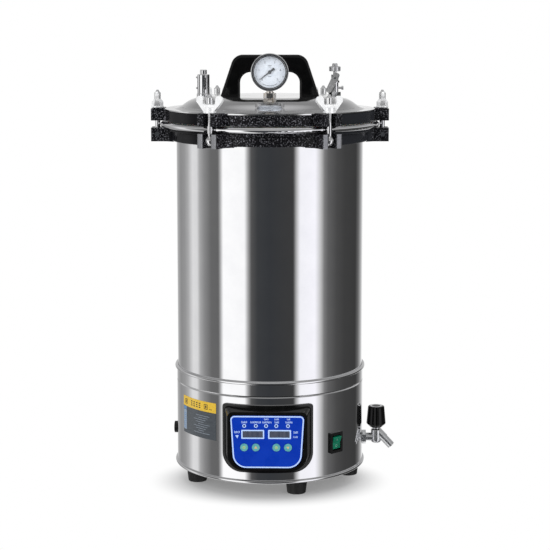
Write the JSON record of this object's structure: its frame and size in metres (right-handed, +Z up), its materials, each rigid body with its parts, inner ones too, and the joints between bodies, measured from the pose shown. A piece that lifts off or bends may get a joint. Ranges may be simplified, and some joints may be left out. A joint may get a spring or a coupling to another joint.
{
  "type": "benchtop autoclave",
  "caption": "Portable electric pressure steam steriliser: polished steel vessel on a round base, swing-bolt lid, gauge, valves and drain tap.",
  "frame": {"origin": "on the vessel's axis, at the level of the feet's undersides", "axes": "+Z up along the vessel's axis, front (control panel) facing -Y, drain tap towards +X"},
  "size_m": [0.3731, 0.332, 0.6514],
  "materials": {
    "polished_steel": "mirror-polished stainless steel sheet",
    "inner_steel": "satin stainless steel",
    "hammertone": "black hammertone enamel on a casting",
    "chrome": "polished chrome plate",
    "bakelite": "black glossy moulding",
    "rubber": "matt black rubber",
    "silicone": "dark silicone seal",
    "blue_film": "blue printed panel film",
    "window": "smoked display window",
    "led": "clear indicator lens",
    "key": "turquoise key cap",
    "green_rocker": "green rocker paddle",
    "label": "grey rating label with a yellow strip",
    "brass": "nickel-flashed brass",
    "dial": "white dial with black marks",
    "needle": "matt black needle",
    "glass": "clear lens",
    "circuit": "green circuit board",
    "spring": "spring wire"
  },
  "bodies": {
    "root": {"chamber": "polished_steel", "base_shell": "polished_steel", "support_ring": "inner_steel", "base_plate": "inner_steel", "sieve_plate": "inner_steel", "basket_lower": "inner_steel", "basket_upper": "inner_steel", "drain_pipe": "inner_steel", "heater_element": "inner_steel", "foot_screws": "inner_steel", "collar_ring": "hammertone", "clamp_pins": "chrome", "tap_body": "chrome", "panel_bezel": "bakelite", "rocker_housing": "bakelite", "fuse_holder": "bakelite", "cord_gland": "bakelite", "rubber_feet": "rubber", "panel_overlay": "blue_film", "display_windows": "window", "indicator_leds": "led", "rating_plate": "label", "temperature_sensors": "brass", "control_board": "circuit", "power_board": "circuit"},
    "lid": {"lid_ring": "hammertone", "lid_shell": "polished_steel", "lid_gasket": "silicone", "lid_handle": "bakelite", "handle_screws": "inner_steel", "gauge_case": "chrome", "gauge_dial": "dial", "gauge_lens": "glass", "gauge_stem": "brass", "safety_valve_body": "chrome", "safety_valve_spring": "spring", "vent_valve_body": "chrome"},
    "gauge_needle": {"gauge_needle": "needle"},
    "safety_valve_stem": {"safety_valve_stem": "chrome"},
    "vent_valve_lever": {"vent_valve_lever": "chrome"},
    "vent_valve_stem": {"vent_valve_stem": "chrome"},
    "tap_knob": {"tap_knob": "bakelite"},
    "rocker_paddle": {"rocker_paddle": "green_rocker"},
    "fuse_cap": {"fuse_cap": "bakelite"},
    "panel_key_1": {"panel_key_1": "key"},
    "panel_key_2": {"panel_key_2": "key"},
    "panel_key_3": {"panel_key_3": "key"},
    "panel_key_4": {"panel_key_4": "key"},
    "swing_bolt_1": {"swing_bolt_1": "chrome"},
    "wing_nut_1": {"wing_nut_1": "chrome"},
    "swing_bolt_2": {"swing_bolt_2": "chrome"},
    "wing_nut_2": {"wing_nut_2": "chrome"},
    "swing_bolt_3": {"swing_bolt_3": "chrome"},
    "wing_nut_3": {"wing_nut_3": "chrome"},
    "swing_bolt_4": {"swing_bolt_4": "chrome"},
    "wing_nut_4": {"wing_nut_4": "chrome"},
    "swing_bolt_5": {"swing_bolt_5": "chrome"},
    "wing_nut_5": {"wing_nut_5": "chrome"},
    "swing_bolt_6": {"swing_bolt_6": "chrome"},
    "wing_nut_6": {"wing_nut_6": "chrome"}
  },
  "joints": [
    {"name": "lid_lift", "type": "slide", "parent": "root", "child": "lid", "axis": [0, 0, 1], "range_m": [0, 0.35]},
    {"name": "gauge_pointer", "type": "hinge", "parent": "lid", "child": "gauge_needle", "pos_m": [0, -0.1, 0.624], "axis": [0, 1, 0], "range_deg": [0, 270], "stiffness_Nm_per_rad": 0.004},
    {"name": "safety_valve_pull", "type": "slide", "parent": "lid", "child": "safety_valve_stem", "axis": [0, 0, 1], "range_m": [0, 0.0025], "stiffness_N_per_m": 2000, "springref_m": -0.002, "deforming": ["safety_valve_spring"]},
    {"name": "vent_lever_flip", "type": "hinge", "parent": "lid", "child": "vent_valve_lever", "pos_m": [0.098, -0.0208, 0.612], "axis": [0, 1, 0], "range_deg": [0, 60]},
    {"name": "vent_stem_lift", "type": "slide", "parent": "lid", "child": "vent_valve_stem", "axis": [0, 0, 1], "range_m": [0, 0.0024]},
    {"name": "tap_turn", "type": "hinge", "parent": "root", "child": "tap_knob", "pos_m": [0.165, 0, 0.08], "axis": [0, 0, 1], "range_deg": [0, 540]},
    {"name": "rocker_tip", "type": "hinge", "parent": "root", "child": "rocker_paddle", "pos_m": [0.09616, -0.10312, 0.0734], "axis": [0.7314, 0.682, 0], "range_deg": [-22, 0]},
    {"name": "fuse_cap_turn", "type": "hinge", "parent": "root", "child": "fuse_cap", "pos_m": [-0.14473, 0.00885, 0.068], "axis": [-0.9981, 0.061, 0], "range_deg": [0, 90]},
    {"name": "panel_key_1_press", "type": "slide", "parent": "root", "child": "panel_key_1", "axis": [0.0227, 0.9997, 0], "range_m": [0, 0.0006], "stiffness_N_per_m": 800},
    {"name": "panel_key_2_press", "type": "slide", "parent": "root", "child": "panel_key_2", "axis": [0.0227, 0.9997, 0], "range_m": [0, 0.0006], "stiffness_N_per_m": 800},
    {"name": "panel_key_3_press", "type": "slide", "parent": "root", "child": "panel_key_3", "axis": [0.0227, 0.9997, 0], "range_m": [0, 0.0006], "stiffness_N_per_m": 800},
    {"name": "panel_key_4_press", "type": "slide", "parent": "root", "child": "panel_key_4", "axis": [0.0227, 0.9997, 0], "range_m": [0, 0.0006], "stiffness_N_per_m": 800},
    {"name": "bolt_swing_1", "type": "hinge", "parent": "root", "child": "swing_bolt_1", "pos_m": [0.0853, -0.14774, 0.5274], "axis": [0.866, 0.5, 0], "range_deg": [0, 165]},
    {"name": "nut_spin_1", "type": "hinge", "parent": "swing_bolt_1", "child": "wing_nut_1", "pos_m": [0.0853, -0.14774, 0.572], "axis": [0, 0, 1], "range_deg": [0, 990]},
    {"name": "bolt_swing_2", "type": "hinge", "parent": "root", "child": "swing_bolt_2", "pos_m": [0.1706, 0, 0.5274], "axis": [0, 1, 0], "range_deg": [0, 165]},
    {"name": "nut_spin_2", "type": "hinge", "parent": "swing_bolt_2", "child": "wing_nut_2", "pos_m": [0.1706, 0, 0.572], "axis": [0, 0, 1], "range_deg": [0, 990]},
    {"name": "bolt_swing_3", "type": "hinge", "parent": "root", "child": "swing_bolt_3", "pos_m": [0.0853, 0.14774, 0.5274], "axis": [-0.866, 0.5, 0], "range_deg": [0, 165]},
    {"name": "nut_spin_3", "type": "hinge", "parent": "swing_bolt_3", "child": "wing_nut_3", "pos_m": [0.0853, 0.14774, 0.572], "axis": [0, 0, 1], "range_deg": [0, 990]},
    {"name": "bolt_swing_4", "type": "hinge", "parent": "root", "child": "swing_bolt_4", "pos_m": [-0.0853, 0.14774, 0.5274], "axis": [-0.866, -0.5, 0], "range_deg": [0, 165]},
    {"name": "nut_spin_4", "type": "hinge", "parent": "swing_bolt_4", "child": "wing_nut_4", "pos_m": [-0.0853, 0.14774, 0.572], "axis": [0, 0, 1], "range_deg": [0, 990]},
    {"name": "bolt_swing_5", "type": "hinge", "parent": "root", "child": "swing_bolt_5", "pos_m": [-0.1706, 0, 0.5274], "axis": [0, -1, 0], "range_deg": [0, 165]},
    {"name": "nut_spin_5", "type": "hinge", "parent": "swing_bolt_5", "child": "wing_nut_5", "pos_m": [-0.1706, 0, 0.572], "axis": [0, 0, 1], "range_deg": [0, 990]},
    {"name": "bolt_swing_6", "type": "hinge", "parent": "root", "child": "swing_bolt_6", "pos_m": [-0.0853, -0.14774, 0.5274], "axis": [0.866, -0.5, 0], "range_deg": [0, 165]},
    {"name": "nut_spin_6", "type": "hinge", "parent": "swing_bolt_6", "child": "wing_nut_6", "pos_m": [-0.0853, -0.14774, 0.572], "axis": [0, 0, 1], "range_deg": [0, 990]}
  ],
  "couplings": [
    {"joint": "vent_lever_flip", "follows": "vent_stem_lift", "rad_per_m": 436.3}
  ]
}
